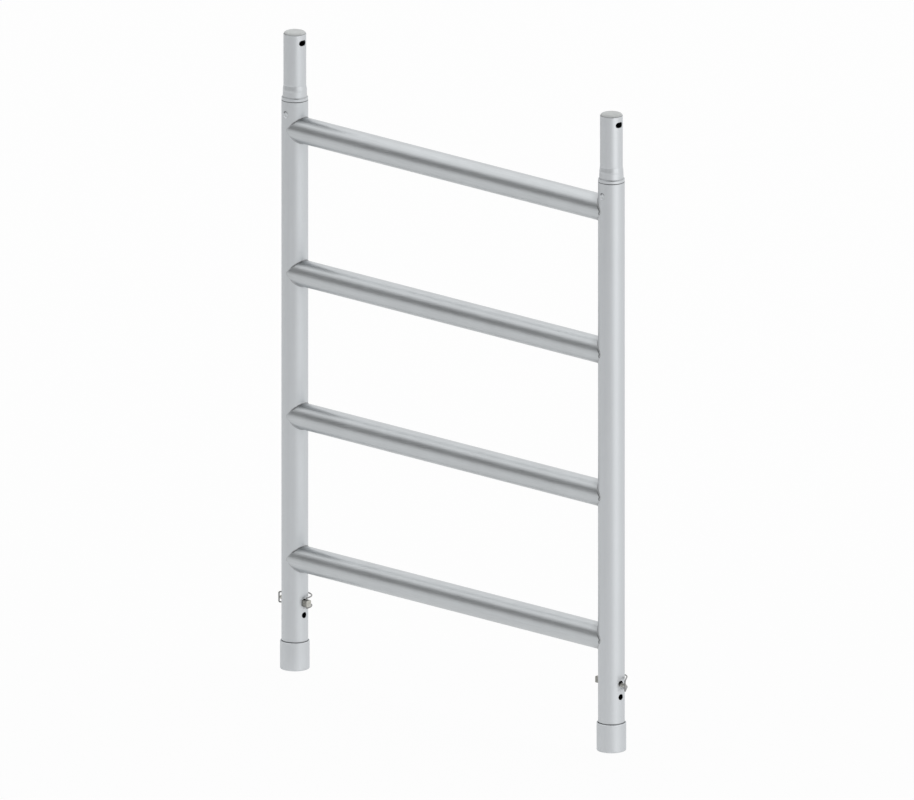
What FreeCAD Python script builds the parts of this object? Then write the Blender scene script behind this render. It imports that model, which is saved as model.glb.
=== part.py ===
import FreeCAD, Part
import math
import os

# Ladder frame of an aluminium scaffold tower, in millimetres.
# X runs along the rungs, Y is across the frame, Z is up from the floor under the foot collars.

# overall layout
UPRIGHT_SPACING = 847.5
RUNG_COUNT = 4
RUNG_PITCH = 280.0
TOP_RUNG_DROP = 62.0

# clearances
SEAT_GAP = 0.05
STACKING_GAP = 0.2
PIVOT_GAP = 0.3
TIP_GAP = 0.3

# upright tubes
TUBE_DIAMETER = 50.8
TUBE_WALL = 2.4
TUBE_TOP_CHAMFER = 0.8
SOCKET_WALL = 2.0
SOCKET_DEPTH = 126.0
SOCKET_LEAD_WIDTH = 1.0
SOCKET_LEAD_LENGTH = 2.0
LOCK_HOLE_DIAMETER = 11.8
LOCK_HOLE_HEIGHT = 108.0
PARK_HOLE_HEIGHT = 134.2
CRIMP_RADIUS = 11.0
CRIMP_DEPTH = 2.6
CRIMP_DROP = 25.0

# rungs
RUNG_INSET = 0.1
RUNG_WALL = 2.0

# foot collars
COLLAR_WALL = 2.65
COLLAR_HEIGHT = 55.0
COLLAR_FOOT_ROUND = 2.0
COLLAR_TOP_CHAMFER = 0.6
COLLAR_LEAD_IN = 1.0

# spigots
SHANK_LENGTH = 100.0
SHOULDER_HEIGHT = 6.0
SHOULDER_BAND = 5.8
SHOULDER_INSET = 0.2
SHOULDER_SEAM = 0.9
FLARE_HEIGHT = 2.0
CONE_HEIGHT = 15.5
CONE_TAPER = 0.4
NECK_TAPER_HEIGHT = 8.0
SPIGOT_SLACK = 1.6
SPIGOT_LENGTH = 124.0
SPIGOT_WALL = 4.2
SPIGOT_TOP_CHAMFER = 0.8
SPIGOT_SLOT_WIDTH = 17.0
SPIGOT_SLOT_HEIGHT = 10.8

# spigot end caps
CAP_RIM_INSET = 0.8
CAP_RIM_HEIGHT = 0.9
CAP_RIM_CHAMFER = 0.4
CAP_SHOULDER_WIDTH = 5.3
CAP_SHOULDER_HEIGHT = 2.9
CAP_PLUG_DEPTH = 9.0
CAP_WALL = 2.2

# lock pins
PIN_DIAMETER = 8.0
PIN_TIP_LENGTH = 12.3
PIN_TIP_CHAMFER = 1.2
HEAD_WIDTH = 12.5
HEAD_LENGTH = 12.6
PIVOT_SETBACK = 5.25
HEAD_CHAMFER = 0.9

# wire bails
WIRE_DIAMETER = 2.8
WIRE_BEND = 2.4
BAIL_ARM_SPACING = 20.0
BAIL_STANDOFF = 3.5
BAIL_LATCH_OFFSET = 3.0
BAIL_END_HEIGHT = 2.0

# sizes that follow from the ones above
TUBE_RADIUS = TUBE_DIAMETER / 2
TUBE_BORE_RADIUS = TUBE_RADIUS - TUBE_WALL
SOCKET_RADIUS = TUBE_RADIUS - SOCKET_WALL
STACK_HEIGHT = RUNG_COUNT * RUNG_PITCH
TUBE_TOP = STACK_HEIGHT - SHOULDER_HEIGHT
FIRST_RUNG_HEIGHT = RUNG_PITCH - TOP_RUNG_DROP
CRIMP_HEIGHT = TUBE_TOP - CRIMP_DROP
CONE_BASE_RADIUS = SOCKET_RADIUS - STACKING_GAP
SPIGOT_RADIUS = CONE_BASE_RADIUS - SPIGOT_SLACK
SPIGOT_BORE_RADIUS = SPIGOT_RADIUS - SPIGOT_WALL
SPIGOT_TOP = STACK_HEIGHT + SPIGOT_LENGTH
PIN_HEIGHT = PARK_HOLE_HEIGHT - (LOCK_HOLE_DIAMETER - PIN_DIAMETER) / 2 + SEAT_GAP
PIN_REACH = TUBE_RADIUS + PIN_TIP_LENGTH
HEAD_SEAT = TUBE_RADIUS + SEAT_GAP
PIVOT_REACH = HEAD_SEAT + PIVOT_SETBACK
BAIL_RADIUS = TUBE_RADIUS + BAIL_STANDOFF
BAIL_END_REACH = PIN_REACH + TIP_GAP + WIRE_DIAMETER / 2

UP = FreeCAD.Vector(0, 0, 1)
ALONG = FreeCAD.Vector(1, 0, 0)
ORIGIN = FreeCAD.Vector(0, 0, 0)


def point(x, y, z):
    """A point in space."""
    return FreeCAD.Vector(x, y, z)


def upright_cylinder(radius, bottom, top):
    """A cylinder on the Z axis between two heights."""
    return Part.makeCylinder(radius, top - bottom, point(0, 0, bottom), UP)


def crossing_cylinder(diameter, height):
    """A cylinder along X that passes right through an upright at a height."""
    start = point(-TUBE_DIAMETER, 0, height)
    return Part.makeCylinder(diameter / 2, 2 * TUBE_DIAMETER, start, ALONG)


def crimp_ball(side, extra):
    """The ball that presses a crimp into one face of an upright, grown by an extra thickness."""
    centre = TUBE_RADIUS - CRIMP_DEPTH + CRIMP_RADIUS
    return Part.makeSphere(CRIMP_RADIUS + extra, point(0, side * centre, CRIMP_HEIGHT))


def turned(outline):
    """A solid of revolution about Z from a closed outline of (radius, height) pairs."""
    corners = [point(radius, 0, height) for radius, height in outline]
    face = Part.Face(Part.makePolygon(corners + corners[:1]))
    return face.revolve(ORIGIN, UP, 360)


def rim(solid, radius, height):
    """The circular edges of a turned solid that have a given radius and height."""
    found = []
    for edge in solid.Edges:
        curve = edge.Curve
        if not isinstance(curve, Part.Circle):
            continue
        if math.isclose(curve.Radius, radius, abs_tol=SEAT_GAP / 10):
            if math.isclose(curve.Center.z, height, abs_tol=SEAT_GAP / 10):
                found.append(edge)
    return found


def upright():
    """Upright tube with a socket below, two cross holes and crimps that hold the spigot."""
    step = SOCKET_RADIUS - TUBE_BORE_RADIUS
    tube = turned([
        (SOCKET_RADIUS + SOCKET_LEAD_WIDTH, 0),
        (TUBE_RADIUS, 0),
        (TUBE_RADIUS, TUBE_TOP - TUBE_TOP_CHAMFER),
        (TUBE_RADIUS - TUBE_TOP_CHAMFER, TUBE_TOP),
        (TUBE_BORE_RADIUS, TUBE_TOP),
        (TUBE_BORE_RADIUS, SOCKET_DEPTH + step),
        (SOCKET_RADIUS, SOCKET_DEPTH),
        (SOCKET_RADIUS, SOCKET_LEAD_LENGTH),
    ])
    inside = upright_cylinder(TUBE_BORE_RADIUS + TUBE_WALL / 2, SOCKET_DEPTH, TUBE_TOP)
    for side in (-1, 1):
        tube = tube.fuse(crimp_ball(side, TUBE_WALL).common(inside))
    for side in (-1, 1):
        tube = tube.cut(crimp_ball(side, 0))
    tube = tube.cut(crossing_cylinder(LOCK_HOLE_DIAMETER, LOCK_HOLE_HEIGHT))
    tube = tube.cut(crossing_cylinder(LOCK_HOLE_DIAMETER, PARK_HOLE_HEIGHT))
    return tube.removeSplitter()


def foot_collar():
    """Sleeve round the foot of an upright, rounded below where it meets the floor."""
    inner = TUBE_RADIUS + SEAT_GAP
    outer = inner + COLLAR_WALL
    sleeve = turned([
        (inner, 0),
        (outer, 0),
        (outer, COLLAR_HEIGHT - COLLAR_TOP_CHAMFER),
        (outer - COLLAR_TOP_CHAMFER, COLLAR_HEIGHT),
        (inner + COLLAR_LEAD_IN, COLLAR_HEIGHT),
        (inner, COLLAR_HEIGHT - COLLAR_LEAD_IN),
    ])
    return sleeve.makeFillet(COLLAR_FOOT_ROUND, rim(sleeve, outer, 0))


def slot_cutter():
    """Obround cutter along X for the slot that takes a lock pin through a spigot."""
    height = STACK_HEIGHT + LOCK_HOLE_HEIGHT
    straight = SPIGOT_SLOT_WIDTH - SPIGOT_SLOT_HEIGHT
    round_end = crossing_cylinder(SPIGOT_SLOT_HEIGHT, height)
    corner = point(-TUBE_DIAMETER, -straight / 2, height - SPIGOT_SLOT_HEIGHT / 2)
    cutter = Part.makeBox(2 * TUBE_DIAMETER, straight, SPIGOT_SLOT_HEIGHT, corner)
    for side in (-1, 1):
        cutter = cutter.fuse(round_end.translated(point(0, side * straight / 2, 0)))
    return cutter.removeSplitter()


def spigot():
    """Stacking spigot: shank in the upright, flared shoulder, centring cone and slotted neck."""
    shank = TUBE_BORE_RADIUS - SEAT_GAP
    shoulder = TUBE_RADIUS - SHOULDER_INSET
    band_top = TUBE_TOP + SHOULDER_BAND
    flare_top = band_top + FLARE_HEIGHT
    flare_width = shoulder - CONE_BASE_RADIUS
    flare_radius = (flare_width ** 2 + FLARE_HEIGHT ** 2) / (2 * flare_width)
    cone_top = STACK_HEIGHT + CONE_HEIGHT
    body = turned([
        (SPIGOT_BORE_RADIUS, TUBE_TOP - SHANK_LENGTH),
        (shank, TUBE_TOP - SHANK_LENGTH),
        (shank, TUBE_TOP),
        (shoulder - SHOULDER_SEAM, TUBE_TOP),
        (shoulder, TUBE_TOP + SHOULDER_SEAM),
        (shoulder, band_top),
        (CONE_BASE_RADIUS, flare_top),
        (CONE_BASE_RADIUS - CONE_TAPER, cone_top),
        (SPIGOT_RADIUS, cone_top + NECK_TAPER_HEIGHT),
        (SPIGOT_RADIUS, SPIGOT_TOP - SPIGOT_TOP_CHAMFER),
        (SPIGOT_RADIUS - SPIGOT_TOP_CHAMFER, SPIGOT_TOP),
        (SPIGOT_BORE_RADIUS, SPIGOT_TOP),
    ])
    hollow = Part.makeTorus(CONE_BASE_RADIUS + flare_radius, flare_radius, point(0, 0, flare_top), UP)
    body = body.cut(hollow)
    for side in (-1, 1):
        body = body.cut(crimp_ball(side, TUBE_WALL + SEAT_GAP))
    return body.cut(slot_cutter())


def spigot_cap():
    """Low plug that closes the top of a spigot, rounded over from its flat top to its rim."""
    plug = SPIGOT_BORE_RADIUS - SEAT_GAP
    edge = SPIGOT_RADIUS - CAP_RIM_INSET
    flat = edge - CAP_SHOULDER_WIDTH
    rim_top = SPIGOT_TOP + CAP_RIM_HEIGHT
    flat_top = rim_top + CAP_SHOULDER_HEIGHT
    bow = (CAP_SHOULDER_WIDTH ** 2 + CAP_SHOULDER_HEIGHT ** 2) / (2 * CAP_SHOULDER_HEIGHT)
    lean = math.asin(CAP_SHOULDER_WIDTH / bow) / 2
    outline = [
        (0, flat_top),
        (0, SPIGOT_TOP),
        (plug - CAP_WALL, SPIGOT_TOP),
        (plug - CAP_WALL, SPIGOT_TOP - CAP_PLUG_DEPTH),
        (plug, SPIGOT_TOP - CAP_PLUG_DEPTH),
        (plug, SPIGOT_TOP),
        (edge - CAP_RIM_CHAMFER, SPIGOT_TOP),
        (edge, SPIGOT_TOP + CAP_RIM_CHAMFER),
        (edge, rim_top),
    ]
    corners = [point(radius, 0, height) for radius, height in outline]
    brink = point(flat, 0, flat_top)
    middle = brink + point(math.sin(lean), 0, math.cos(lean) - 1) * bow
    shoulder = Part.Arc(corners[-1], middle, brink).toShape()
    top = Part.makeLine(brink, corners[0])
    profile = Part.Wire(Part.makePolygon(corners).Edges + [shoulder, top])
    return Part.Face(profile).revolve(ORIGIN, UP, 360)


def rung(height):
    """Round rung whose ends are saddle cut to sit on the two uprights."""
    half = UPRIGHT_SPACING / 2
    radius = TUBE_RADIUS - RUNG_INSET
    start = point(-half, 0, height)
    bar = Part.makeCylinder(radius, UPRIGHT_SPACING, start, ALONG)
    bar = bar.cut(Part.makeCylinder(radius - RUNG_WALL, UPRIGHT_SPACING, start, ALONG))
    post = upright_cylinder(TUBE_RADIUS + SEAT_GAP, height - TUBE_DIAMETER, height + TUBE_DIAMETER)
    for side in (-1, 1):
        bar = bar.cut(post.translated(point(side * half, 0, 0)))
    return bar


def pin_head():
    """Square pin head, chamfered on its outer edges."""
    corner = point(HEAD_SEAT, -HEAD_WIDTH / 2, -HEAD_WIDTH / 2)
    block = Part.makeBox(HEAD_LENGTH, HEAD_WIDTH, HEAD_WIDTH, corner)
    outer = [edge for edge in block.Edges if edge.BoundBox.XMax > HEAD_SEAT + HEAD_LENGTH / 2]
    return block.makeChamfer(HEAD_CHAMFER, outer)


def lock_pin():
    """Lock pin parked across an upright, its head drilled for the ends of the bail."""
    shank = Part.makeCylinder(PIN_DIAMETER / 2, PIN_REACH + PIVOT_REACH, point(-PIN_REACH, 0, 0), ALONG)
    tip = [edge for edge in shank.Edges if edge.BoundBox.XMax < 0]
    shank = shank.makeChamfer(PIN_TIP_CHAMFER, tip)
    pin = pin_head().fuse(shank)
    drill = WIRE_DIAMETER / 2 + PIVOT_GAP
    pin = pin.cut(upright_cylinder(drill, -HEAD_WIDTH, HEAD_WIDTH).translated(
        point(PIVOT_REACH, 0, 0)))
    return pin.removeSplitter().translated(point(0, 0, PIN_HEIGHT))


def bail_arm(level):
    """Centre line of one bail arm, from its end in the pin head to the closed end of the bail."""
    height = level * BAIL_ARM_SPACING / 2
    turn_height = height - level * WIRE_BEND
    half_turn = WIRE_BEND * math.sqrt(0.5)
    centre = point(PIVOT_REACH - BAIL_RADIUS, WIRE_BEND, height)
    latch = point(-BAIL_END_REACH, -BAIL_LATCH_OFFSET, height)
    reach = latch - centre
    leave = math.atan2(reach.y, reach.x) % (2 * math.pi) - math.acos(BAIL_RADIUS / reach.Length)
    heading = point(-math.sin(leave), math.cos(leave), 0)

    def on_arc(angle):
        return centre + point(math.cos(angle), math.sin(angle), 0) * BAIL_RADIUS

    start = point(PIVOT_REACH, 0, level * BAIL_END_HEIGHT)
    first_bend = point(PIVOT_REACH, 0, turn_height)
    first_mid = point(PIVOT_REACH, WIRE_BEND - half_turn, turn_height + level * half_turn)
    last_bend = latch - heading * WIRE_BEND
    last_mid = last_bend + heading * half_turn + UP * (level * (half_turn - WIRE_BEND))
    closed = point(latch.x, latch.y, turn_height)
    return [
        Part.makeLine(start, first_bend),
        Part.Arc(first_bend, first_mid, on_arc(0)).toShape(),
        Part.Arc(on_arc(0), on_arc(leave / 2), on_arc(leave)).toShape(),
        Part.makeLine(on_arc(leave), last_bend),
        Part.Arc(last_bend, last_mid, closed).toShape(),
    ]


def wire_bail():
    """Spring wire bail that passes behind the upright and closes past the tip of the pin."""
    upper = bail_arm(1)
    lower = bail_arm(-1)
    closed_end = Part.makeLine(upper[-1].Vertexes[-1].Point, lower[-1].Vertexes[-1].Point)
    path = Part.Wire(Part.__sortEdges__(upper + [closed_end] + lower[::-1]))
    start = point(PIVOT_REACH, 0, BAIL_END_HEIGHT)
    section = Part.Face(Part.Wire(Part.makeCircle(WIRE_DIAMETER / 2, start, UP)))
    return path.makePipe(section).translated(point(0, 0, PIN_HEIGHT))


def main():
    """Build every piece in place and write one file for each."""
    os.makedirs("parts", exist_ok=True)
    pieces = {}
    half = UPRIGHT_SPACING / 2
    straight = {
        "upright": upright(),
        "foot_collar": foot_collar(),
        "spigot": spigot(),
        "spigot_cap": spigot_cap(),
    }
    handed = {"lock_pin": lock_pin(), "wire_bail": wire_bail()}
    for name, shape in straight.items():
        pieces["left_" + name] = shape.translated(point(-half, 0, 0))
        pieces["right_" + name] = shape.translated(point(half, 0, 0))
    for name, shape in handed.items():
        pieces["left_" + name] = shape.translated(point(-half, 0, 0))
        pieces["right_" + name] = shape.mirror(ORIGIN, ALONG).translated(point(half, 0, 0))
    for index in range(RUNG_COUNT):
        pieces["rung_%d" % (index + 1)] = rung(FIRST_RUNG_HEIGHT + index * RUNG_PITCH)
    for name, shape in pieces.items():
        shape.exportStep(os.path.join("parts", name + ".step"))


main()
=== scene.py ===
"""Looks of the scaffold tower frame: finishes, weld beads, studio and camera, in metres."""

import logging
import math
from dataclasses import dataclass
from enum import Enum
from typing import Any

import bmesh
import bpy
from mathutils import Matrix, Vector


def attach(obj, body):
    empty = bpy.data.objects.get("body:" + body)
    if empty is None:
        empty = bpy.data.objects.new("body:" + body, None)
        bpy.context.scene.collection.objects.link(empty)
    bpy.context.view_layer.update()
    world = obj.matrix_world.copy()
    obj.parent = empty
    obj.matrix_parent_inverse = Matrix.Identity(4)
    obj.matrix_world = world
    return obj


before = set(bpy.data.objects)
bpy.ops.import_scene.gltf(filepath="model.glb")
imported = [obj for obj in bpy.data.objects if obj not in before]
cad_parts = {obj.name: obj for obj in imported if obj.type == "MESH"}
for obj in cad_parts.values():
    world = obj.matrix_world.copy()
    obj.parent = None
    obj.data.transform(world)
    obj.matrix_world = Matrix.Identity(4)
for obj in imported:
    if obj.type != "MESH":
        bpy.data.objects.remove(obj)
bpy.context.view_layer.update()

LOG = logging.getLogger("scaffold_tower_frame")
FRAME_BODY = "frame"
MM = 0.001
UPRIGHT_OFFSET = 423.75 * MM
UPRIGHT_RADIUS = 25.4 * MM
BOTTOM_RUNG = 218 * MM
RUNG_PITCH = 280 * MM
RUNG_COUNT = 4
MIDDLE_SOFT = 1 * MM
FINE_DETAIL = 3.0
FINE_ROUGHNESS = 0.6
WHITE = (1.0, 1.0, 1.0, 1.0)

Socket = bpy.types.NodeSocket
Material = bpy.types.Material
Triple = tuple[float, float, float]
Colour = Triple
Span = tuple[float, float]
Sockets = dict[str | int, Any]
Paint = dict[str, Socket]


class Side(Enum):
    """The two halves of the frame, as the names of their nodes start."""

    LEFT = "left"
    RIGHT = "right"


class RunAxis(Enum):
    """The direction in which a tube was drawn, as the index of its coordinate."""

    ALONG_X = 0
    ALONG_Z = 2


class Signal:
    """A number that varies over a surface: one socket with Python's operators."""

    def __init__(self, board: "NodeBoard", socket: Socket) -> None:
        """Keep a socket and the board that it belongs to."""
        self.board = board
        self.socket = socket

    def math(self, operation: str, *values: "Signal | float") -> "Signal":
        """Add one Math node.

        Args:
            operation: the node's operation.
            values: its operands in order, numbers or signals.

        Returns:
            The node's result.
        """
        sockets = dict(enumerate(values))
        node = self.board.node("ShaderNodeMath", {"operation": operation}, sockets)
        return Signal(self.board, node.outputs[0])

    def __add__(self, other: "Signal | float") -> "Signal":
        """Sum of two numbers."""
        return self.math("ADD", self, other)

    def __radd__(self, other: float) -> "Signal":
        """Sum with a plain number on the left."""
        return self.math("ADD", other, self)

    def __sub__(self, other: "Signal | float") -> "Signal":
        """Difference of two numbers."""
        return self.math("SUBTRACT", self, other)

    def __rsub__(self, other: float) -> "Signal":
        """Difference with a plain number on the left."""
        return self.math("SUBTRACT", other, self)

    def __mul__(self, other: "Signal | float") -> "Signal":
        """Product of two numbers."""
        return self.math("MULTIPLY", self, other)

    def __rmul__(self, other: float) -> "Signal":
        """Product with a plain number on the left."""
        return self.math("MULTIPLY", other, self)

    def __pow__(self, other: "Signal | float") -> "Signal":
        """Power of a number."""
        return self.math("POWER", self, other)

    def __abs__(self) -> "Signal":
        """Size of a number without its sign."""
        return self.math("ABSOLUTE", self)

    def sin(self) -> "Signal":
        """Sine of an angle."""
        return self.math("SINE", self)

    def cos(self) -> "Signal":
        """Cosine of an angle."""
        return self.math("COSINE", self)

    def root(self) -> "Signal":
        """Square root of a number."""
        return self.math("SQRT", self)

    def step(self, low: float, high: float) -> "Signal":
        """Ease from 0 to 1.

        Args:
            low: the value at which the result leaves 0.
            high: the value at which the result reaches 1; below low it runs the other way.

        Returns:
            The eased number.
        """
        settings = {"interpolation_type": "SMOOTHSTEP"}
        falling = high < low
        bounds = (high, low) if falling else (low, high)
        targets = (1.0, 0.0) if falling else (0.0, 1.0)
        sockets = {"Value": self, "From Min": bounds[0], "From Max": bounds[1],
                   "To Min": targets[0], "To Max": targets[1]}
        node = self.board.node("ShaderNodeMapRange", settings, sockets)
        return Signal(self.board, node.outputs["Result"])

    def over(self, limit: float, soft: float) -> "Signal":
        """1 above a limit and 0 below it, eased over a distance to either side."""
        return self.step(limit - soft, limit + soft)

    def under(self, limit: float, soft: float) -> "Signal":
        """1 below a limit and 0 above it, eased over a distance to either side."""
        return self.step(limit + soft, limit - soft)


class Arrow:
    """A vector that varies over a surface: one socket with Python's operators."""

    def __init__(self, board: "NodeBoard", socket: Socket) -> None:
        """Keep a socket and the board that it belongs to."""
        self.board = board
        self.socket = socket

    def math(self, operation: str, sockets: Sockets) -> bpy.types.Node:
        """Add one Vector Math node whose first operand is this vector.

        Args:
            operation: the node's operation.
            sockets: values or links of its other sockets.

        Returns:
            The node.
        """
        settings = {"operation": operation}
        return self.board.node("ShaderNodeVectorMath", settings, {0: self, **sockets})

    def __add__(self, other: "Arrow") -> "Arrow":
        """Sum of two vectors."""
        return Arrow(self.board, self.math("ADD", {1: other}).outputs["Vector"])

    def __mul__(self, factor: "Signal | float") -> "Arrow":
        """A vector made longer by a factor."""
        return Arrow(self.board, self.math("SCALE", {"Scale": factor}).outputs["Vector"])

    def stretched(self, factors: Triple) -> "Arrow":
        """A vector whose coordinates are each multiplied by a plain number."""
        return Arrow(self.board, self.math("MULTIPLY", {1: factors}).outputs["Vector"])

    def cross(self, other: "Arrow") -> "Arrow":
        """The vector square to two others."""
        return Arrow(self.board, self.math("CROSS_PRODUCT", {1: other}).outputs["Vector"])

    def unit(self) -> "Arrow":
        """The same direction with length 1."""
        return Arrow(self.board, self.math("NORMALIZE", {}).outputs["Vector"])

    def dot(self, other: "Arrow") -> Signal:
        """Scalar product of two vectors."""
        return Signal(self.board, self.math("DOT_PRODUCT", {1: other}).outputs["Value"])

    def parts(self) -> tuple[Signal, Signal, Signal]:
        """The three coordinates as numbers."""
        node = self.board.node("ShaderNodeSeparateXYZ", {}, {0: self})
        return tuple(Signal(self.board, socket) for socket in node.outputs)


class NodeBoard:
    """A node tree that is filled by expressions."""

    def __init__(self, tree: bpy.types.NodeTree) -> None:
        """Keep the tree."""
        self.tree = tree

    @classmethod
    def of(cls, owner: Material | bpy.types.World) -> "NodeBoard":
        """Empty the nodes of a material or a world.

        Args:
            owner: what the nodes belong to.

        Returns:
            The empty board.
        """
        owner.use_nodes = True
        owner.node_tree.nodes.clear()
        return cls(owner.node_tree)

    def node(self, kind: str, settings: dict[str, Any], sockets: Sockets) -> bpy.types.Node:
        """Add one node.

        Args:
            kind: the node's type.
            settings: its own settings, set first.
            sockets: values or links of its sockets, by place, identifier or name.

        Returns:
            The new node.
        """
        made = self.tree.nodes.new(kind)
        for name, value in settings.items():
            setattr(made, name, value)
        for key, value in sockets.items():
            socket = self._find(made, key)
            if isinstance(value, (Signal, Arrow)):
                value = value.socket
            if isinstance(value, Socket):
                self.tree.links.new(value, socket)
            else:
                socket.default_value = value
        return made

    @staticmethod
    def _find(made: bpy.types.Node, key: str | int) -> Socket:
        """Find an input socket.

        Args:
            made: the node.
            key: the socket's place, identifier or name.

        Returns:
            The socket.
        """
        if isinstance(key, int):
            return made.inputs[key]
        for socket in made.inputs:
            if socket.identifier == key:
                return socket
        return made.inputs[key]

    def signal(self, kind: str, settings: dict[str, Any], sockets: Sockets, out: str) -> Signal:
        """Add one node and take one of its numbers.

        Args:
            kind: the node's type.
            settings: its own settings.
            sockets: values or links of its sockets.
            out: the output's name.

        Returns:
            The output as a number.
        """
        return Signal(self, self.node(kind, settings, sockets).outputs[out])

    def arrow(self, x: Signal | float, y: Signal | float, z: Signal | float) -> Arrow:
        """Three numbers as one vector."""
        node = self.node("ShaderNodeCombineXYZ", {}, {0: x, 1: y, 2: z})
        return Arrow(self, node.outputs[0])

    def place(self) -> Arrow:
        """A point's place in the frame, from its object coordinates."""
        return Arrow(self, self.node("ShaderNodeTexCoord", {}, {}).outputs["Object"])

    def position(self) -> Arrow:
        """A point's place in the geometry that a tree makes."""
        return Arrow(self, self.node("GeometryNodeInputPosition", {}, {}).outputs[0])

    def noise(self, where: Arrow, size: float = 1.0, detail: float = 2.0,
              roughness: float = 0.5) -> Signal:
        """Soft random pattern.

        Args:
            where: the coordinates that it reads.
            size: how wide a swell is in them.
            detail: how many finer layers it has.
            roughness: how strong the finer layers are.

        Returns:
            A number about 0.5.
        """
        sockets = {"Vector": where, "Scale": 1.0 / size, "Detail": detail, "Roughness": roughness}
        return self.signal("ShaderNodeTexNoise", {}, sockets, "Fac")

    def blend(self, share: Signal, start: Any, end: Any) -> Socket:
        """Mix two colours.

        Args:
            share: 0 gives the first colour and 1 the second.
            start: the first colour, plain or a socket.
            end: the second colour, plain or a socket.

        Returns:
            The mixed colour's socket.
        """
        colours = [c if isinstance(c, Socket) else (*c, 1.0) for c in (start, end)]
        settings = {"data_type": "RGBA", "clamp_factor": True}
        sockets = {"Factor_Float": share, "A_Color": colours[0], "B_Color": colours[1]}
        node = self.node("ShaderNodeMix", settings, sockets)
        return next(s for s in node.outputs if s.identifier == "Result_Color")

    def relief(self, height: Signal, depth: float) -> Socket:
        """Turn a height into a bent normal.

        Args:
            height: the height, from 0 to 1.
            depth: what a height of 1 is in metres.

        Returns:
            The normal's socket.
        """
        sockets = {"Height": height, "Distance": depth, "Strength": 1.0}
        return self.node("ShaderNodeBump", {}, sockets).outputs["Normal"]


def around_upright(board: NodeBoard) -> tuple[Signal, Signal]:
    """Measure a point against the axis of its upright.

    Args:
        board: the material's nodes.

    Returns:
        Distance from the axis, and height above the floor.
    """
    x, y, z = board.place().parts()
    across = abs(x) - UPRIGHT_OFFSET
    return (across * across + y * y).root(), z


def above_rung(height: Signal) -> Signal:
    """Measure a height against the middle of the nearest rung.

    Args:
        height: height above the floor.

    Returns:
        Height above the rung's middle, negative below it.
    """
    half = RUNG_PITCH / 2
    return height.math("WRAP", height - BOTTOM_RUNG, half, -half)


def left_half(x: Signal) -> Signal:
    """1 on the left half of the frame and 0 on the right."""
    return x.under(0.0, MIDDLE_SOFT)


@dataclass(frozen=True)
class Finish:
    """What every finish has: a name, a colour, a gloss and how far it is metal."""

    name: str
    colour: Colour
    roughness: float
    metallic: float = 1.0
    gloss_spread: float = 0.08

    def material(self) -> Material:
        """Make the finish's material.

        Returns:
            The new material.
        """
        made = bpy.data.materials.new(self.name)
        made.diffuse_color = (*self.colour, 1.0)
        board = NodeBoard.of(made)
        sockets = {"Base Color": (*self.colour, 1.0), "Roughness": self.roughness,
                   "Metallic": self.metallic}
        shader = board.node("ShaderNodeBsdfPrincipled", {}, sockets)
        board.node("ShaderNodeOutputMaterial", {}, {"Surface": shader.outputs["BSDF"]})
        for name, socket in self.paint(board).items():
            board.tree.links.new(socket, shader.inputs[name])
        return made

    def shade(self, factor: float) -> Colour:
        """The finish's colour made darker or lighter by a factor."""
        return tuple(min(1.0, channel * factor) for channel in self.colour)

    def toned(self, board: NodeBoard, share: Signal, spread: float) -> Socket:
        """Let the colour run from a darker tone at 0 to a lighter one at 1."""
        return board.blend(share, self.shade(1 - spread), self.shade(1 + spread))

    def glossed(self, pattern: Signal) -> Socket:
        """Let the roughness follow a pattern about 0.5."""
        return (self.roughness + (pattern - 0.5) * (2 * self.gloss_spread)).socket

    def paint(self, board: NodeBoard) -> Paint:
        """Make what changes over the surface.

        Args:
            board: the material's nodes.

        Returns:
            Sockets for Base Color, Roughness and Normal.
        """
        raise NotImplementedError


@dataclass(frozen=True)
class DrawnAluminium(Finish):
    """Aluminium tube with the fine lines of drawing or brushing along it."""

    run: RunAxis = RunAxis.ALONG_Z
    line_width: float = 1.2 * MM
    line_length: float = 90 * MM
    line_depth: float = 0.02 * MM
    line_share: float = 0.65
    cloud_size: float = 60 * MM
    tone_range: Span = (0.25, 0.75)
    tone_spread: float = 0.06

    def lines(self, board: NodeBoard, where: Arrow) -> Signal:
        """Fine lines along the tube.

        Args:
            board: the material's nodes.
            where: place in the frame.

        Returns:
            A number about 0.5.
        """
        factors = [1.0 / self.line_width] * 3
        factors[self.run.value] = 1.0 / self.line_length
        stretched = where.stretched(tuple(factors))
        return board.noise(stretched, detail=FINE_DETAIL, roughness=FINE_ROUGHNESS)

    def paint(self, board: NodeBoard) -> Paint:
        """Make the lines and the soft clouds of an oxide skin.

        Args:
            board: the material's nodes.

        Returns:
            Sockets for Base Color, Roughness and Normal.
        """
        where = board.place()
        lines = self.lines(board, where)
        clouds = board.noise(where, self.cloud_size)
        share = self.line_share * lines + (1 - self.line_share) * clouds
        return {"Base Color": self.toned(board, share.step(*self.tone_range), self.tone_spread),
                "Roughness": self.glossed(share),
                "Normal": board.relief(lines, self.line_depth)}


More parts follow.
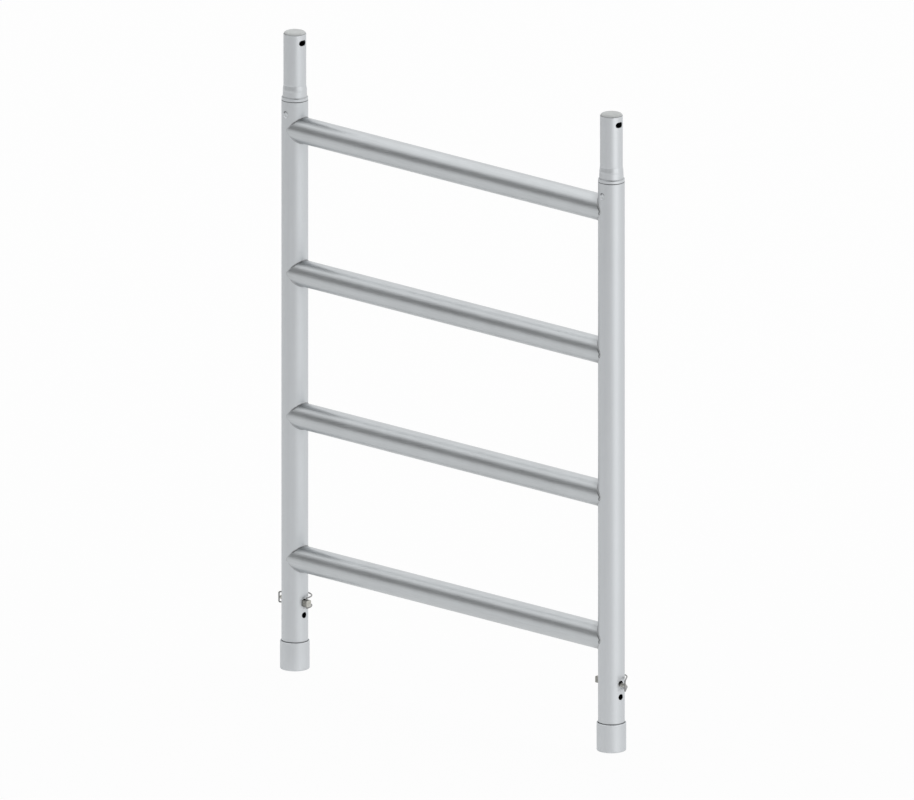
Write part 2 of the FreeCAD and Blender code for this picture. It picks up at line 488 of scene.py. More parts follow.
@dataclass(frozen=True)
class PaintedShading:
    """A place on an upright with painted shade, or with a painted highlight where its tone is above
    1.

    Attributes:
        low: height of its lower end.
        high: height of its upper end.
        within: distance from the upright's axis at which it ends.
        beyond: distance from the upright's axis at which it starts.
        soft: how far its ends are eased to either side.
        share: how much of its tone shows.
        tone: its tone as a share of the clean colour, below 1 for painted shade and above 1 for a
            painted highlight.
    """

    low: float
    high: float
    within: float
    beyond: float = 0.0
    soft: float = 0.3 * MM
    beyond_soft: float = 0.2 * MM
    within_soft: float = 0.1 * MM
    share: float = 1.0
    tone: float = 0.25

    def mask(self, radius: Signal, height: Signal) -> Signal:
        """Find the place on a surface.

        Args:
            radius: distance from the upright's axis.
            height: height above the floor.

        Returns:
            The share of the changed tone, 0 away from the place.
        """
        level = height.over(self.low, self.soft) * height.under(self.high, self.soft)
        inner = radius.over(self.beyond, self.beyond_soft)
        outer = radius.step(self.within, self.within - self.within_soft)
        return level * inner * outer * self.share


@dataclass(frozen=True)
class PostAluminium(DrawnAluminium):
    """Aluminium round the axis of an upright, with painted shade in its bore and painted light at
    its corners.
    """

    # painted shade: the bore's near-black colour stands in for the shade inside the tube
    bore_shade_colour: Colour = (0.045, 0.047, 0.05)
    bore_radius: float = 23.8 * MM
    bore_soft: float = 0.2 * MM
    bore_to: float = 1300 * MM
    bore_fade: float = 10 * MM
    painted_shading: tuple[PaintedShading, ...] = ()

    def wear_and_painted_light(self, board: NodeBoard, colour: Socket) -> Socket:
        """Add what use has left on the clean skin, and painted light where a finish has it.

        Args:
            board: the material's nodes.
            colour: the clean colour.

        Returns:
            The colour with its wear and any painted light.
        """
        raise NotImplementedError

    def paint(self, board: NodeBoard) -> Paint:
        """Make the drawn skin, its wear and the painted light and shade at corners and in the bore.

        Args:
            board: the material's nodes.

        Returns:
            Sockets for Base Color, Roughness and Normal.
        """
        made = super().paint(board)
        radius, height = around_upright(board)
        colour = self.wear_and_painted_light(board, made["Base Color"])
        # painted shade and painted highlights at seams, corners and crimps
        for shading in self.painted_shading:
            tone = self.shade(shading.tone)
            colour = board.blend(shading.mask(radius, height), colour, tone)
        # painted shade in the bore
        bore = radius.step(self.bore_radius, self.bore_radius - self.bore_soft)
        bore = bore * height.step(self.bore_to + self.bore_fade, self.bore_to)
        made["Base Color"] = board.blend(bore, colour, self.bore_shade_colour)
        return made


@dataclass(frozen=True)
class UprightAluminium(PostAluminium):
    """Drawn tube whose foot has stood on the ground."""

    scuff_height: float = 9 * MM
    scuff_size: float = 7 * MM
    scuff_range: Span = (0.42, 0.66)
    scuff_share: float = 0.10
    scuff_tone: float = 0.2

    def wear_and_painted_light(self, board: NodeBoard, colour: Socket) -> Socket:
        """Scuff the foot.

        Args:
            board: the material's nodes.
            colour: the clean colour.

        Returns:
            The scuffed colour.
        """
        place = board.place()
        _, _, height = place.parts()
        patches = board.noise(place, self.scuff_size, FINE_DETAIL).step(*self.scuff_range)
        scuffs = height.step(self.scuff_height, 0.0) * patches * self.scuff_share
        return board.blend(scuffs, colour, self.shade(self.scuff_tone))


@dataclass(frozen=True)
class SpigotAluminium(PostAluminium):
    """Turned spigot with faint rub marks and a band of painted light and shade above its cone."""

    rub_stretch: Triple = (60.0, 60.0, 900.0)
    rub_range: Span = (0.52, 0.72)
    rub_share: float = 0.05
    rub_tone: float = 0.55
    band_height: float = 1139.0 * MM
    band_half_height: float = 5.0 * MM
    band_soft: float = 3.0 * MM
    band_bright: float = 1.08
    band_bright_to: float = 11 * MM
    band_dull: float = 0.90
    band_dull_from: float = 19 * MM
    band_front: Span = (-5 * MM, -8 * MM)

    def wear_and_painted_light(self, board: NodeBoard, colour: Socket) -> Socket:
        """Add the rub marks and the band of painted light and shade.

        Args:
            board: the material's nodes.
            colour: the clean colour.

        Returns:
            The rubbed colour with the painted light and shade.
        """
        place = board.place()
        x, y, z = place.parts()
        rubs = board.noise(place.stretched(self.rub_stretch)).step(*self.rub_range)
        rubbed = board.blend(rubs * self.rub_share, colour, self.shade(self.rub_tone))
        # painted light: the band is lighter on the shaded side and darker where the highlight falls
        edge = self.band_half_height + self.band_soft
        band = abs(z - self.band_height).step(edge, self.band_half_height)
        across = x - UPRIGHT_OFFSET * x.math("SIGN", x)
        dulled = across.step(self.band_bright_to, self.band_dull_from)
        bright, dull = self.shade(self.band_bright), self.shade(self.band_dull)
        painted_light = board.blend(dulled, bright, dull)
        return board.blend(band * y.step(*self.band_front), rubbed, painted_light)


@dataclass(frozen=True)
class RungPlace:
    """Where a point lies on its rung.

    Attributes:
        across: distance from the rung's upright middle plane.
        turn: angle from the top of the rung towards its front.
        reach: distance along the rung from the axis of the nearer upright.
        away: distance along the rung from its saddle cut.
        left: 1 on the left half of the frame and 0 on the right.
    """

    across: Signal
    turn: Signal
    reach: Signal
    away: Signal
    left: Signal

    @classmethod
    def of(cls, board: NodeBoard) -> "RungPlace":
        """Measure a point.

        Args:
            board: the material's nodes.

        Returns:
            Its place on the rung.
        """
        x, y, z = board.place().parts()
        inside = UPRIGHT_RADIUS * UPRIGHT_RADIUS - y * y
        saddle = inside.math("MAXIMUM", inside, 0.0).root()
        turn = y.math("ARCTAN2", y * -1.0, above_rung(z))
        reach = UPRIGHT_OFFSET - abs(x)
        return cls(abs(y), turn, reach, reach - saddle, left_half(x))


@dataclass(frozen=True)
class RungAluminium(DrawnAluminium):
    """Brushed rung with painted shade by the welds and painted reflections and highlights at its
    joints.
    """

    dull_tone: float = 0.3
    # painted shade beside the welds, less where the weld runs flush
    joint_shade_reach: float = 30 * MM
    joint_shade_power: float = 2.0
    joint_shade_share: float = 0.30
    flush_from: float = 17 * MM
    flush_to: float = 23.5 * MM
    flush_share: float = 0.2
    # painted reflection of the left upright on the rung's top
    upright_reflection_share: float = 0.30
    upright_reflection_front: float = 0.75
    upright_reflection_back: float = 0.12
    upright_reflection_soft: float = 0.08
    upright_reflection_start: float = 26.6 * MM
    upright_reflection_slope: float = 3.6
    upright_reflection_low: float = 0.55
    upright_reflection_rise: float = 50 * MM
    upright_reflection_full: float = 90 * MM
    upright_reflection_end: float = 160 * MM
    # painted highlight on the tip at the left joints
    tip_full: float = 5.5 * MM
    tip_end: float = 10 * MM
    tip_top: Span = (0.85, 1.05)
    tip_bottom: Span = (1.57, 1.27)
    tip_tone: float = 1.3
    # painted reflection along the weld toe at the right joints
    toe_away: float = 4.8 * MM
    toe_half_width: float = 1.1 * MM
    toe_soft: float = 1.5 * MM
    toe_bend: Span = (1.95, 1.65)
    toe_top: Span = (1.05, 1.45)
    toe_bottom: Span = (1.97, 1.81)
    toe_share: float = 0.95

    def joint_shade(self, spot: RungPlace) -> Signal:
        """Find the painted shade beside the welds.

        Args:
            spot: place on the rung.

        Returns:
            The share of the dull tone, less where the weld runs flush.
        """
        corner = spot.across.step(self.flush_to, self.flush_from)
        corner = corner * (1 - self.flush_share) + self.flush_share
        near = spot.away.step(self.joint_shade_reach, 0.0)
        return near ** self.joint_shade_power * corner * self.joint_shade_share

    def upright_reflection(self, spot: RungPlace) -> Signal:
        """Find the painted reflection of the upright on the top beside the left joint.

        Args:
            spot: place on the rung.

        Returns:
            The share of the dull tone: a wedge that narrows away from the joint.
        """
        edge = (spot.reach - self.upright_reflection_start) * self.upright_reflection_slope + self.upright_reflection_back
        wedge = (spot.turn - edge).over(0.0, self.upright_reflection_soft)
        wedge = wedge * spot.turn.under(self.upright_reflection_front, self.upright_reflection_soft)
        rise = spot.reach.step(self.upright_reflection_rise, self.upright_reflection_full)
        rise = rise * (1 - self.upright_reflection_low) + self.upright_reflection_low
        fade = spot.reach.step(self.upright_reflection_end, self.upright_reflection_full)
        return wedge * rise * fade * spot.left * self.upright_reflection_share

    def toe(self, spot: RungPlace) -> Signal:
        """Find the painted reflection along the weld toe at the right joint.

        Args:
            spot: place on the rung.

        Returns:
            The share of the dull tone: a line that bends into the joint at its lower end.
        """
        line = spot.turn.step(*self.toe_bend) * self.toe_away
        edge = self.toe_half_width + self.toe_soft
        toe = abs(spot.away - line).step(edge, self.toe_half_width)
        toe = toe * spot.turn.step(*self.toe_top) * spot.turn.step(*self.toe_bottom)
        return toe * (1.0 - spot.left) * self.toe_share

    def tip(self, spot: RungPlace) -> Signal:
        """Find the painted highlight on the tip that reaches round the front of the left upright.

        Args:
            spot: place on the rung.

        Returns:
            The share of the tip's tone.
        """
        end = spot.reach.step(self.tip_end, self.tip_full)
        return end * spot.turn.step(*self.tip_top) * spot.turn.step(*self.tip_bottom) * spot.left

    def paint(self, board: NodeBoard) -> Paint:
        """Make the brushed skin and the painted shade, reflections and highlight at its joints.

        Args:
            board: the material's nodes.

        Returns:
            Sockets for Base Color, Roughness and Normal.
        """
        made = super().paint(board)
        spot = RungPlace.of(board)
        dull = self.shade(self.dull_tone)
        # painted reflections, the painted highlight on the tip and the painted shade beside the
        # welds
        with_painted_light = board.blend(self.upright_reflection(spot) + self.toe(spot), made["Base Color"], dull)
        with_painted_light = board.blend(self.tip(spot), with_painted_light, self.shade(self.tip_tone))
        made["Base Color"] = board.blend(self.joint_shade(spot), with_painted_light, dull)
        return made


@dataclass(frozen=True)
class MouldedPlastic(Finish):
    """Moulded cap with a fine eroded grain and painted shade in the seam under its rim."""

    seam_height: float = 1244.4 * MM
    seam_soft: float = 0.25 * MM
    seam_tone: float = 0.5
    grain_size: float = 0.7 * MM
    grain_depth: float = 0.04 * MM
    grain_share: float = 0.4
    cloud_size: float = 14 * MM
    tone_range: Span = (0.3, 0.7)
    tone_spread: float = 0.05

    def paint(self, board: NodeBoard) -> Paint:
        """Make the grain, the slight clouds of the moulding and the painted shade in the seam.

        Args:
            board: the material's nodes.

        Returns:
            Sockets for Base Color, Roughness and Normal.
        """
        where = board.place()
        grain = board.noise(where, self.grain_size, FINE_DETAIL, FINE_ROUGHNESS)
        clouds = board.noise(where, self.cloud_size)
        share = self.grain_share * grain + (1 - self.grain_share) * clouds
        colour = self.toned(board, share.step(*self.tone_range), self.tone_spread)
        _, _, z = where.parts()
        # painted shade in the seam under the rim
        seam = z.under(self.seam_height, self.seam_soft)
        return {"Base Color": board.blend(seam, colour, self.shade(self.seam_tone)),
                "Roughness": self.glossed(grain),
                "Normal": board.relief(grain, self.grain_depth)}


@dataclass(frozen=True)
class ZincSteel(Finish):
    """Zinc plated steel: small crystals, a faint warm film and fine lines of the tool."""

    gloss_spread: float = 0.1
    film: Colour = (0.42, 0.39, 0.31)
    film_size: float = 6 * MM
    film_range: Span = (0.35, 0.75)
    film_share: float = 0.35
    crystal_size: float = 1.6 * MM
    crystal_smoothness: float = 0.6
    crystal_range: Span = (0.1, 0.8)
    crystal_bright: float = 1.08
    crystal_dull: float = 0.90
    tool_stretch: Triple = (300.0, 2500.0, 2500.0)
    tool_depth: float = 0.02 * MM

    def paint(self, board: NodeBoard) -> Paint:
        """Make the crystals, the film and the lines.

        Args:
            board: the material's nodes.

        Returns:
            Sockets for Base Color, Roughness and Normal.
        """
        where = board.place()
        sockets = {"Vector": where, "Scale": 1.0 / self.crystal_size,
                   "Smoothness": self.crystal_smoothness}
        settings = {"feature": "SMOOTH_F1"}
        cells = board.signal("ShaderNodeTexVoronoi", settings, sockets, "Distance")
        clouds = board.noise(where, self.film_size, FINE_DETAIL)
        bright = self.shade(self.crystal_bright)
        dull = self.shade(self.crystal_dull)
        plated = board.blend(cells.step(*self.crystal_range), bright, dull)
        film = clouds.step(*self.film_range) * self.film_share
        lines = board.noise(where.stretched(self.tool_stretch))
        return {"Base Color": board.blend(film, plated, self.film),
                "Roughness": self.glossed(clouds),
                "Normal": board.relief(lines, self.tool_depth)}


@dataclass(frozen=True)
class PinSteel(ZincSteel):
    """Plated pin with painted shade on the flanks of its head; the end face keeps the plain colour.
    """

    flank_from: float = 386.6 * MM
    flank_to: float = 398.4 * MM
    flank_soft: float = 0.3 * MM
    flank_share: float = 0.5
    flank_tone: float = 0.15

    def paint(self, board: NodeBoard) -> Paint:
        """Make the plated skin and the painted shade on the flanks.

        Args:
            board: the material's nodes.

        Returns:
            Sockets for Base Color, Roughness and Normal.
        """
        made = super().paint(board)
        x, _, _ = board.place().parts()
        inward = abs(x)
        # painted shade on the flanks of the head
        flank = inward.over(self.flank_from, self.flank_soft)
        flank = flank * inward.under(self.flank_to, self.flank_soft) * self.flank_share
        flank_shade = self.shade(self.flank_tone)
        made["Base Color"] = board.blend(flank, made["Base Color"], flank_shade)
        return made


@dataclass(frozen=True)
class WeldMetal(Finish):
    """Aluminium weld bead, frosted, with a painted dark reflection on its upper half at the left
    joints.
    """

    gloss_spread: float = 0.1
    spot_size: float = 1.1 * MM
    spot_depth: float = 0.05 * MM
    tone_range: Span = (0.3, 0.7)
    tone_spread: float = 0.16
    # painted dark reflection on the bead's upper half at the left joints
    dark_reflection_from: float = 1 * MM
    dark_reflection_to: float = 9 * MM
    dark_reflection_radius: float = 26.2 * MM
    dark_reflection_soft: float = 0.6 * MM
    dark_reflection_share: float = 0.68
    dark_reflection_tone: float = 0.3

    def paint(self, board: NodeBoard) -> Paint:
        """Make the frosted spots and the painted reflection.

        Args:
            board: the material's nodes.

        Returns:
            Sockets for Base Color, Roughness and Normal.
        """
        where = board.place()
        spots = board.noise(where, self.spot_size, FINE_DETAIL, FINE_ROUGHNESS)
        colour = self.toned(board, spots.step(*self.tone_range), self.tone_spread)
        x, _, _ = where.parts()
        radius, height = around_upright(board)
        # painted dark reflection
        dark_reflection = above_rung(height).step(self.dark_reflection_from, self.dark_reflection_to) * left_half(x)
        dark_reflection = dark_reflection * radius.over(self.dark_reflection_radius, self.dark_reflection_soft) * self.dark_reflection_share
        return {"Base Color": board.blend(dark_reflection, colour, self.shade(self.dark_reflection_tone)),
                "Roughness": self.glossed(spots),
                "Normal": board.relief(spots, self.spot_depth)}


TUBE_PAINTED_SHADING = (
    # painted shade in the seam above the foot collar, and a painted highlight on the collar's rim
    PaintedShading(54.6 * MM, 56.7 * MM, 26.7 * MM, share=0.75),
    PaintedShading(53.8 * MM, 55.4 * MM, 29 * MM, beyond=27.4 * MM, tone=1.15),
    # painted shade in the seam under the spigot's shoulder
    PaintedShading(1113.2 * MM, 1115 * MM, 25.3 * MM, share=0.8),
    # painted shade on the upper half of the crimps and painted light on their lower half
    PaintedShading(1090.5 * MM, 1102 * MM, 25.25 * MM, beyond=23.6 * MM, soft=2 * MM, share=0.9),
    PaintedShading(1078 * MM, 1088.5 * MM, 25.3 * MM, beyond=22 * MM, soft=2 * MM, tone=1.4),
)
SPIGOT_PAINTED_SHADING = (
    # painted shade in the seam under the shoulder, in the corner above it and in the seam under the
    # cap
    PaintedShading(1113 * MM, 1114.8 * MM, 25.1 * MM, share=0.8),
    PaintedShading(1118 * MM, 1122.2 * MM, 25.0 * MM, soft=1.6 * MM, share=0.32),
    PaintedShading(1243.3 * MM, 1245 * MM, 21.9 * MM, share=0.5),
)
TUBE_FINISH = UprightAluminium(
    "satin_drawn_aluminium", (0.621, 0.642, 0.660), 0.50, tone_spread=0.025, gloss_spread=0.04,
    line_width=0.9 * MM, line_length=160 * MM, line_depth=0.006 * MM, bore_to=1000 * MM,
    painted_shading=TUBE_PAINTED_SHADING)
RUNG_FINISH = RungAluminium(
    "brushed_rung_aluminium", (0.525, 0.545, 0.558), 0.37, tone_spread=0.08, run=RunAxis.ALONG_X,
    line_width=1.6 * MM, line_length=45 * MM, line_depth=0.03 * MM)
SPIGOT_FINISH = SpigotAluminium(
    "satin_spigot_aluminium", (0.621, 0.642, 0.660), 0.48, tone_spread=0.025, gloss_spread=0.04,
    line_width=0.9 * MM, line_length=60 * MM, line_depth=0.006 * MM, bore_radius=19.8 * MM,
    painted_shading=SPIGOT_PAINTED_SHADING)
CAP_FINISH = MouldedPlastic("pale_moulded_plastic", (0.645, 0.665, 0.66), 0.50, metallic=0.0)
PIN_FINISH = PinSteel("zinc_plated_pin", (0.52, 0.52, 0.49), 0.38)
WIRE_FINISH = ZincSteel(
    "zinc_plated_wire", (0.27, 0.27, 0.27), 0.34, film=(0.30, 0.29, 0.26), film_share=0.2)
WELD_FINISH = WeldMetal("frosted_weld", (0.44, 0.45, 0.46), 0.46)


def dress(node: str, material: Material) -> None:
    """Give a node its finish.

    Args:
        node: the node's name.
        material: the finish.
    """
    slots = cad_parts[node].data.materials
    slots.clear()
    slots.append(material)
    LOG.info("%s: %s", node, material.name)


@dataclass
class Post:
    """One upright with its foot collar, spigot and cap."""

    side: Side

    def dress(self, tube: Material, spigot: Material, cap: Material) -> None:
        """Give the four pieces their finishes.

        Args:
            tube: finish of upright and collar.
            spigot: finish of the spigot.
            cap: finish of the cap.
        """
        dress(f"{self.side.value}_upright", tube)
        dress(f"{self.side.value}_foot_collar", tube)
        dress(f"{self.side.value}_spigot", spigot)
        dress(f"{self.side.value}_spigot_cap", cap)


@dataclass
class LockSet:
    """A lock pin and the wire bail that keeps it in."""

    side: Side

    def dress(self, pin: Material, wire: Material) -> None:
        """Give pin and bail their finishes.

        Args:
            pin: finish of the pin.
            wire: finish of the bail.
        """
        dress(f"{self.side.value}_lock_pin", pin)
        dress(f"{self.side.value}_wire_bail", wire)


@dataclass
class RungLadder:
    """The rungs and the weld beads that hold their ends to the uprights."""

    rung_radius: float = 25.3 * MM
    bead_half_width: float = 2.3 * MM
    bead_height: float = 1.3 * MM
    flush_loss: float = 0.98
    flush_from: float = 0.55
    flush_to: float = 0.92
    ripple_count: int = 92
    ripple_depth: float = 0.16
    ripple_bow: float = 0.55
    ripple_narrowing: float = 0.15
    steps_per_ripple: int = 5
    steps_round_bead: int = 10
    merge_distance: float = 0.01 * MM

    def dress(self, rung: Material) -> None:
        """Give every rung its finish.

        Args:
            rung: the finish.
        """
        for number in range(1, RUNG_COUNT + 1):
            dress(f"rung_{number}", rung)

    def bead_tree(self, weld: Material) -> bpy.types.NodeTree:
        """Make the nodes that sweep one bead round a saddle cut and repeat it at every rung end.

        Args:
            weld: finish of the beads.

        Returns:
            The node tree.
        """
        tree = bpy.data.node_groups.new("weld_bead_rows", "GeometryNodeTree")
        face = tree.interface
        face.new_socket("Geometry", in_out="OUTPUT", socket_type="NodeSocketGeometry")
        for name in self.sizes():
            face.new_socket(name, in_out="INPUT", socket_type="NodeSocketFloat")
        board = NodeBoard(tree)
        given = board.node("NodeGroupInput", {}, {}).outputs
        size = {name: Signal(board, given[name]) for name in self.sizes()}
        bead = self.one_bead(board, size)
        ends = self.rung_ends(board, size)
        x, _, _ = board.position().parts()
        facing = board.arrow(0.0, 0.0, x.over(0.0, MIDDLE_SOFT) * math.pi)
        copies = {"Points": ends, "Instance": bead, "Rotation": facing}
        placed = board.node("GeometryNodeInstanceOnPoints", {}, copies)
        real = board.node("GeometryNodeRealizeInstances", {}, {0: placed.outputs[0]})
        skin = {"Geometry": real.outputs[0], "Material": weld}
        dressed = board.node("GeometryNodeSetMaterial", {}, skin)
        board.node("NodeGroupOutput", {}, {0: dressed.outputs[0]})
        return tree

    def sizes(self) -> dict[str, float]:
        """The named sizes that the tree takes.

        Returns:
            Each input's name and value.
        """
        return {
            "Upright Radius": UPRIGHT_RADIUS,
            "Rung Radius": self.rung_radius,
            "Upright Offset": UPRIGHT_OFFSET,
            "Bottom Rung": BOTTOM_RUNG,
            "Rung Pitch": RUNG_PITCH,
            "Bead Half Width": self.bead_half_width,
            "Bead Height": self.bead_height,
            "Flush Loss": self.flush_loss,
            "Ripple Depth": self.ripple_depth,
            "Ripple Bow": self.ripple_bow,
        }

    def one_bead(self, board: NodeBoard, size: dict[str, Signal]) -> Socket:
        """Sweep a rippled bead round the saddle cut of a rung that runs along +X from its upright.

        Args:
            board: the tree's nodes.
            size: the named sizes.

        Returns:
            The bead's geometry.
        """
        rows = self.ripple_count * self.steps_per_ripple
        sheet = {"Size X": 1.0, "Size Y": 1.0,
                 "Vertices X": rows + 1, "Vertices Y": self.steps_round_bead + 1}
        grid = board.node("GeometryNodeMeshGrid", {}, sheet).outputs["Mesh"]
        along, around, _ = board.position().parts()
        turn = along * math.tau
        roll = around * math.tau
        y = size["Rung Radius"] * turn.cos()
        x = (size["Upright Radius"] * size["Upright Radius"] - y * y).root()
        z = size["Rung Radius"] * turn.sin()
        from_upright = board.arrow(x, y, 0.0).unit()
        from_rung = board.arrow(0.0, y, z).unit()
        outward = (from_upright + from_rung).unit()
        forward = from_upright.cross(from_rung).unit()
        sideways = forward.cross(outward)
        flush = from_upright.dot(from_rung)
        crown = 1.0 - size["Flush Loss"] * flush.step(self.flush_from, self.flush_to)
        wave = (along * self.ripple_count + roll.cos() * roll.cos() * size["Ripple Bow"]) * math.tau
        swell = 1.0 - size["Ripple Depth"] * (0.5 - 0.5 * wave.cos())
        rise = roll.sin() * size["Bead Height"] * swell * crown
        width = 1 - self.ripple_narrowing + self.ripple_narrowing * swell
        reach = roll.cos() * size["Bead Half Width"] * width * crown.root()
        swept = board.arrow(x, y, z) + outward * rise + sideways * reach
        moved = {"Geometry": grid, "Position": swept}
        bent = board.node("GeometryNodeSetPosition", {}, moved).outputs[0]
        joined = {"Geometry": bent, "Distance": self.merge_distance}
        closed = board.node("GeometryNodeMergeByDistance", {}, joined).outputs[0]
        return board.node("GeometryNodeSetShadeSmooth", {}, {"Geometry": closed}).outputs[0]

    @staticmethod
    def rung_ends(board: NodeBoard, size: dict[str, Signal]) -> Socket:
        """Make one point for each rung end, on the axis of its upright.

        Args:
            board: the tree's nodes.
            size: the named sizes.

        Returns:
            The points.
        """
        wide = size["Upright Offset"] * 2.0
        high = size["Rung Pitch"] * float(RUNG_COUNT - 1)
        sheet = {"Size X": wide, "Size Y": high, "Vertices X": 2, "Vertices Y": RUNG_COUNT}
        grid = board.node("GeometryNodeMeshGrid", {}, sheet).outputs["Mesh"]
        x, up, _ = board.position().parts()
        place = board.arrow(x, 0.0, up + high * 0.5 + size["Bottom Rung"])
        moved = {"Geometry": grid, "Position": place}
        return board.node("GeometryNodeSetPosition", {}, moved).outputs[0]

    def build_beads(self, weld: Material) -> bpy.types.Object:
        """Make the eight weld beads as one plain mesh.

        Args:
            weld: finish of the beads.

        Returns:
            The piece.
        """
        seed = bpy.data.objects.new("weld_beads", bpy.data.meshes.new("weld_beads"))
        bpy.context.scene.collection.objects.link(seed)
        tree = self.bead_tree(weld)
        modifier = seed.modifiers.new("weld_bead_rows", "NODES")
        modifier.node_group = tree
        items = tree.interface.items_tree
        named = {item.name: item.identifier for item in items if item.in_out == "INPUT"}
        for name, value in self.sizes().items():
            modifier[named[name]] = value
        graph = bpy.context.evaluated_depsgraph_get()
        mesh = bpy.data.meshes.new_from_object(seed.evaluated_get(graph))
        seed.modifiers.remove(modifier)
        seed.data = mesh
        self.face_outwards(mesh)
        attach(seed, FRAME_BODY)
        LOG.info("weld_beads: %d faces", len(mesh.polygons))
        return seed

    @staticmethod
    def face_outwards(mesh: bpy.types.Mesh) -> None:
        """Turn every face of closed shells outwards.

        Args:
            mesh: the mesh, changed in place.
        """
        shells = bmesh.new()
        shells.from_mesh(mesh)
        bmesh.ops.recalc_face_normals(shells, faces=shells.faces)
        shells.to_mesh(mesh)
        shells.free()


@dataclass(frozen=True)
class DarkBand:
    """A round dark cloth beside the object.

    Attributes:
        name: its name.
        low: radius and height of its lower rim.
        high: radius and height of its upper rim.
        start: angle at which it starts, in degrees.
        end: angle at which it ends, in degrees.
        tone: how bright its grey is.
    """

    name: str
    low: Span
    high: Span
    start: float
    end: float
    tone: float


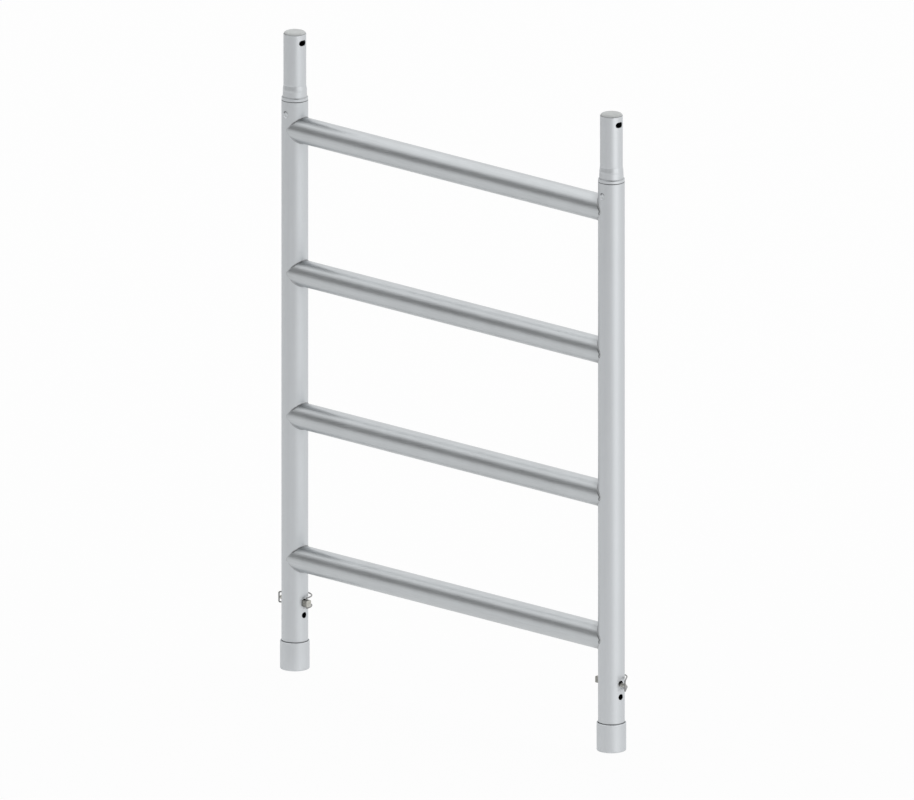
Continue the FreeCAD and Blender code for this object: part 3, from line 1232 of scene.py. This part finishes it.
@dataclass
class Studio:
    """Floor, white surroundings, soft lamps, dark cloths for the metal to mirror, and camera."""

    floor_half: float = 30.0
    floor_drop: float = 0.2 * MM
    floor_colour: Colour = (0.86, 0.86, 0.86)
    floor_white_share: float = 0.955
    fill_strength: float = 0.75
    band_steps: int = 96
    dark_bands: tuple[DarkBand, ...] = (
        DarkBand("dark_screen", (9.0, 0.45), (9.0, 5.8), 165.0, 322.0, 0.425),
        DarkBand("dark_flag", (5.0, 3.4), (0.6, 5.9), -70.0, 18.0, 0.02))
    ceiling_height: float = 6.0
    ceiling_width: float = 14.0
    ceiling_radiance: float = 0.32
    softbox_place: Triple = (8.0, -0.6, 1.4)
    softbox_width: float = 5.5
    softbox_radiance: float = 1.6
    azimuth: float = 45.0
    elevation: float = 15.0
    picture_pixels: int = 914
    pixel_size: float = 1.893 * MM
    aim_right: float = 7.35 * MM
    aim_up: float = 584.5 * MM
    camera_distance: float = 3.0

    @staticmethod
    def seen_directly(board: NodeBoard) -> Signal:
        """Tell a look at the surroundings from soft light.

        Args:
            board: the nodes of the world or of a material.

        Returns:
            1 where the camera, a mirror or glass looks, and 0 for soft light.
        """
        rays = board.node("ShaderNodeLightPath", {}, {}).outputs
        names = ("Is Camera Ray", "Is Glossy Ray", "Is Transmission Ray")
        camera, glossy, through = (Signal(board, rays[name]) for name in names)
        return camera.math("MAXIMUM", camera.math("MAXIMUM", camera, glossy), through)

    def surroundings(self) -> None:
        """Make the white world, dimmer as soft light than it looks."""
        world = bpy.data.worlds.new("white_studio")
        bpy.context.scene.world = world
        board = NodeBoard.of(world)
        strength = self.fill_strength + self.seen_directly(board) * (1.0 - self.fill_strength)
        sky = board.node("ShaderNodeBackground", {}, {"Color": WHITE, "Strength": strength})
        board.node("ShaderNodeOutputWorld", {}, {"Surface": sky.outputs[0]})

    @staticmethod
    def stage_mesh(name: str, corners: list[Triple], faces: list[list[int]],
                   material: Material) -> bpy.types.Object:
        """Make a piece of the studio.

        Args:
            name: its name.
            corners: its points.
            faces: its faces by their points' numbers.
            material: its finish.

        Returns:
            The staged object.
        """
        mesh = bpy.data.meshes.new(name)
        mesh.from_pydata(corners, [], faces)
        mesh.materials.append(material)
        made = bpy.data.objects.new(name, mesh)
        bpy.context.scene.collection.objects.link(made)
        return made

    def floor(self) -> None:
        """Make the pale floor, which keeps a faint shadow."""
        material = bpy.data.materials.new("pale_floor")
        board = NodeBoard.of(material)
        matte = board.node("ShaderNodeBsdfDiffuse", {}, {"Color": (*self.floor_colour, 1.0)})
        white = board.node("ShaderNodeEmission", {}, {"Color": WHITE, "Strength": 1.0})
        share = self.seen_directly(board) * self.floor_white_share
        layers = {0: share, 1: matte.outputs[0], 2: white.outputs[0]}
        mixed = board.node("ShaderNodeMixShader", {}, layers)
        board.node("ShaderNodeOutputMaterial", {}, {"Surface": mixed.outputs[0]})
        reach = self.floor_half
        corners = [(-reach, -reach, -self.floor_drop), (reach, -reach, -self.floor_drop),
                   (reach, reach, -self.floor_drop), (-reach, reach, -self.floor_drop)]
        self.stage_mesh("floor", corners, [[0, 1, 2, 3]], material)

    def dark_band(self, band: DarkBand) -> None:
        """Make a round dark cloth that the metal mirrors and the camera never sees.

        Args:
            band: its place and tone.
        """
        material = bpy.data.materials.new(f"{band.name}_cloth")
        board = NodeBoard.of(material)
        grey = (band.tone, band.tone, band.tone, 1.0)
        cloth = board.node("ShaderNodeBsdfDiffuse", {}, {"Color": grey})
        board.node("ShaderNodeOutputMaterial", {}, {"Surface": cloth.outputs[0]})
        corners, faces = [], []
        for step in range(self.band_steps + 1):
            turn = math.radians(band.start + (band.end - band.start) * step / self.band_steps)
            for radius, height in (band.low, band.high):
                corners.append((radius * math.cos(turn), radius * math.sin(turn), height))
            if step:
                base = 2 * step
                faces.append([base - 2, base, base + 1, base - 1])
        cloth_sheet = self.stage_mesh(band.name, corners, faces, material)
        cloth_sheet.visible_camera = False

    @staticmethod
    def lamp(name: str, place: Triple, aim: Triple, width: float, radiance: float) -> None:
        """Make a soft area lamp.

        Args:
            name: its name.
            place: its middle.
            aim: the point that it faces.
            width: its diameter.
            radiance: how bright its face looks, where the white surroundings are 1.
        """
        area = math.pi * width * width / 4
        data = bpy.data.lights.new(name, "AREA")
        data.shape = "DISK"
        data.size = width
        data.energy = radiance * math.pi * area
        made = bpy.data.objects.new(name, data)
        made.location = place
        made.rotation_mode = "QUATERNION"
        made.rotation_quaternion = (Vector(aim) - Vector(place)).to_track_quat("-Z", "Y")
        made.visible_camera = False
        bpy.context.scene.collection.objects.link(made)

    def camera(self) -> None:
        """Make the camera: a parallel view from the front right, a little raised."""
        turn, rise = math.radians(self.azimuth), math.radians(self.elevation)
        level = math.cos(rise)
        back = Vector((math.sin(turn) * level, -math.cos(turn) * level, math.sin(rise)))
        right = Vector((math.cos(turn), math.sin(turn), 0.0))
        up = back.cross(right)
        data = bpy.data.cameras.new("camera")
        data.type = "ORTHO"
        data.ortho_scale = self.picture_pixels * self.pixel_size
        made = bpy.data.objects.new("camera", data)
        made.location = right * self.aim_right + up * self.aim_up + back * self.camera_distance
        made.rotation_mode = "QUATERNION"
        made.rotation_quaternion = (-back).to_track_quat("-Z", "Y")
        bpy.context.scene.collection.objects.link(made)
        bpy.context.scene.camera = made

    def build(self) -> None:
        """Make the whole studio."""
        bpy.context.scene.view_settings.view_transform = "Standard"
        self.surroundings()
        self.floor()
        for band in self.dark_bands:
            self.dark_band(band)
        overhead = (0.0, 0.0, self.ceiling_height)
        origin = (0.0, 0.0, 0.0)
        self.lamp("ceiling_lamp", overhead, origin, self.ceiling_width, self.ceiling_radiance)
        middle = (0.0, 0.0, self.softbox_place[2])
        self.lamp("right_softbox", self.softbox_place, middle, self.softbox_width,
                  self.softbox_radiance)
        self.camera()


def main() -> None:
    """Build studio, finishes and pieces in order."""
    logging.basicConfig(level=logging.INFO, format="%(message)s")
    Studio().build()
    tube, rung, spigot = TUBE_FINISH.material(), RUNG_FINISH.material(), SPIGOT_FINISH.material()
    cap, pin, wire = CAP_FINISH.material(), PIN_FINISH.material(), WIRE_FINISH.material()
    for side in Side:
        Post(side).dress(tube, spigot, cap)
        LockSet(side).dress(pin, wire)
    ladder = RungLadder()
    ladder.dress(rung)
    ladder.build_beads(WELD_FINISH.material())


if __name__ == "__main__":
    main()
